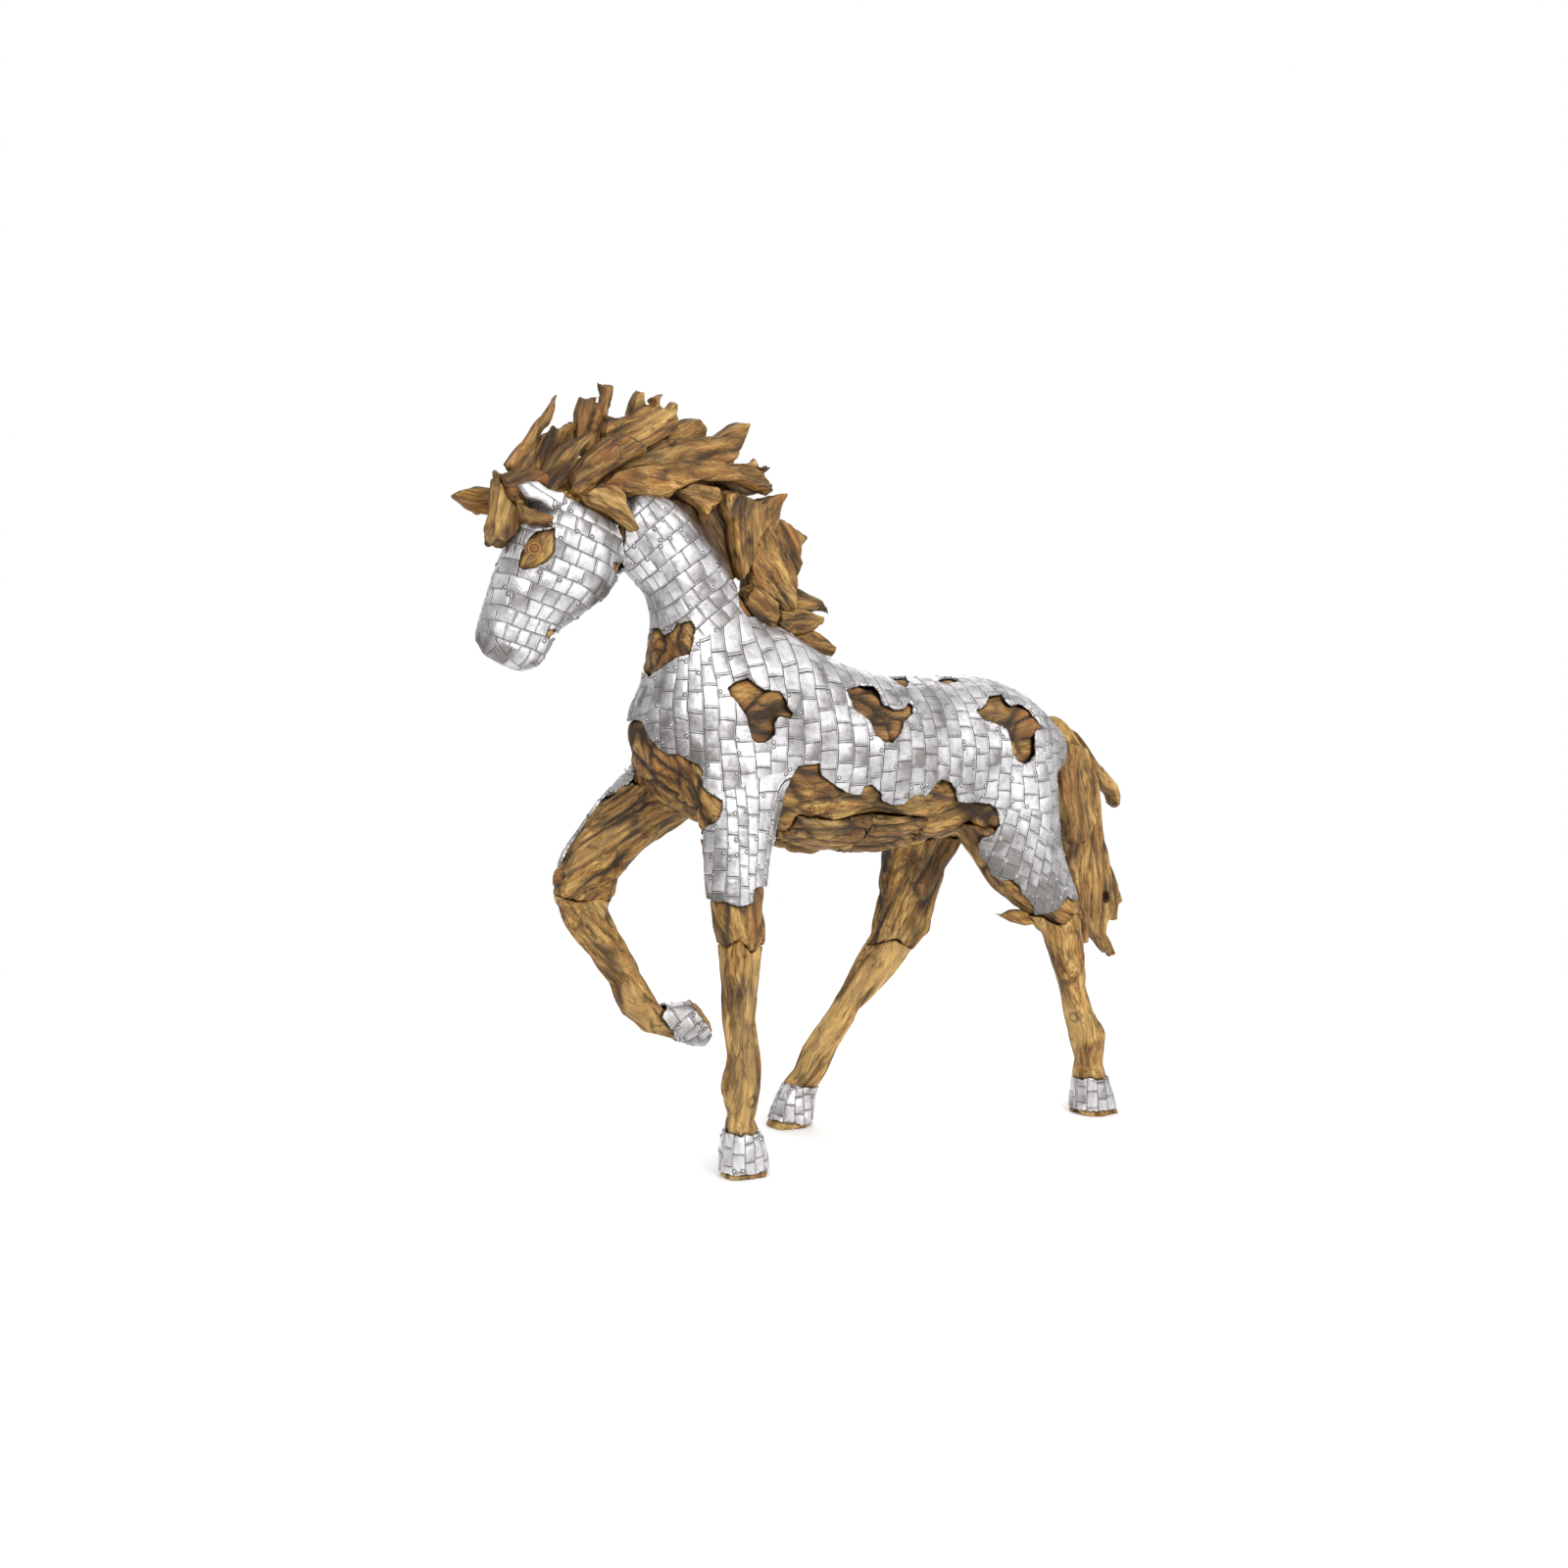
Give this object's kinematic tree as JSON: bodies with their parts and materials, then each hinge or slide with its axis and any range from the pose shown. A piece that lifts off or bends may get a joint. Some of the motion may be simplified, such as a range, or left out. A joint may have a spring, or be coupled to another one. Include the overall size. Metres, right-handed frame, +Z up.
{
  "type": "root wood horse sculpture",
  "caption": "Life-size walking horse of assembled root wood, partly clad in riveted hammered metal plates, with a loose wooden mane and tail and a raised foreleg.",
  "frame": {"origin": "centre of the figure's bounding box at the level of the soles", "axes": "+Z up, the head points to -X, the horse's left side to -Y"},
  "size_m": [2.13, 0.5018, 2.0119],
  "materials": {
    "root_wood": "oiled, burnt dark in the cracks",
    "dark_root_wood": "dark, weathered",
    "hammered_metal": "hand hammered, satin, dark seams"
  },
  "bodies": {
    "root": {"belly_slab_front": "root_wood", "belly_slab_rear": "root_wood", "body_cladding": "hammered_metal", "brow_band": "root_wood", "cheek_lock": "root_wood", "eyelid_strip": "root_wood", "far_mane_drop": "root_wood", "far_mane_low": "root_wood", "far_mane_slab": "root_wood", "forelock": "root_wood", "head": "root_wood", "head_cladding": "hammered_metal", "hind_leg_twig": "root_wood", "left_ear": "hammered_metal", "left_fore_cannon": "root_wood", "left_fore_hoof_cladding": "hammered_metal", "left_forearm": "root_wood", "left_hind_cannon": "root_wood", "left_hind_hoof_cladding": "hammered_metal", "left_thigh": "root_wood", "mane_blade": "root_wood", "mane_block": "root_wood", "mane_board": "dark_root_wood", "mane_broad_drop": "root_wood", "mane_fork_drop": "root_wood", "mane_jagged_back": "root_wood", "mane_jagged_tip": "root_wood", "mane_long_drop": "root_wood", "mane_lower_drop": "root_wood", "mane_ragged_ridge": "root_wood", "mane_ridged": "root_wood", "mane_slab_high": "root_wood", "mane_slab_low": "root_wood", "mane_spike": "root_wood", "mane_swept_spike": "root_wood", "mane_tall_fork": "root_wood", "mane_three_tips": "root_wood", "neck": "root_wood", "right_ear": "root_wood", "right_fore_cannon": "root_wood", "right_fore_hoof_cladding": "hammered_metal", "right_forearm": "root_wood", "right_forearm_cladding": "hammered_metal", "right_hind_cannon": "root_wood", "right_hind_hoof_cladding": "hammered_metal", "right_thigh": "root_wood", "tail_front": "root_wood", "tail_rear": "root_wood", "tail_root": "root_wood", "tail_strip": "root_wood", "trunk_wood": "root_wood", "withers_chunk": "root_wood", "withers_spike": "root_wood", "withers_stub": "root_wood", "withers_tail_lock": "root_wood"}
  },
  "joints": []
}
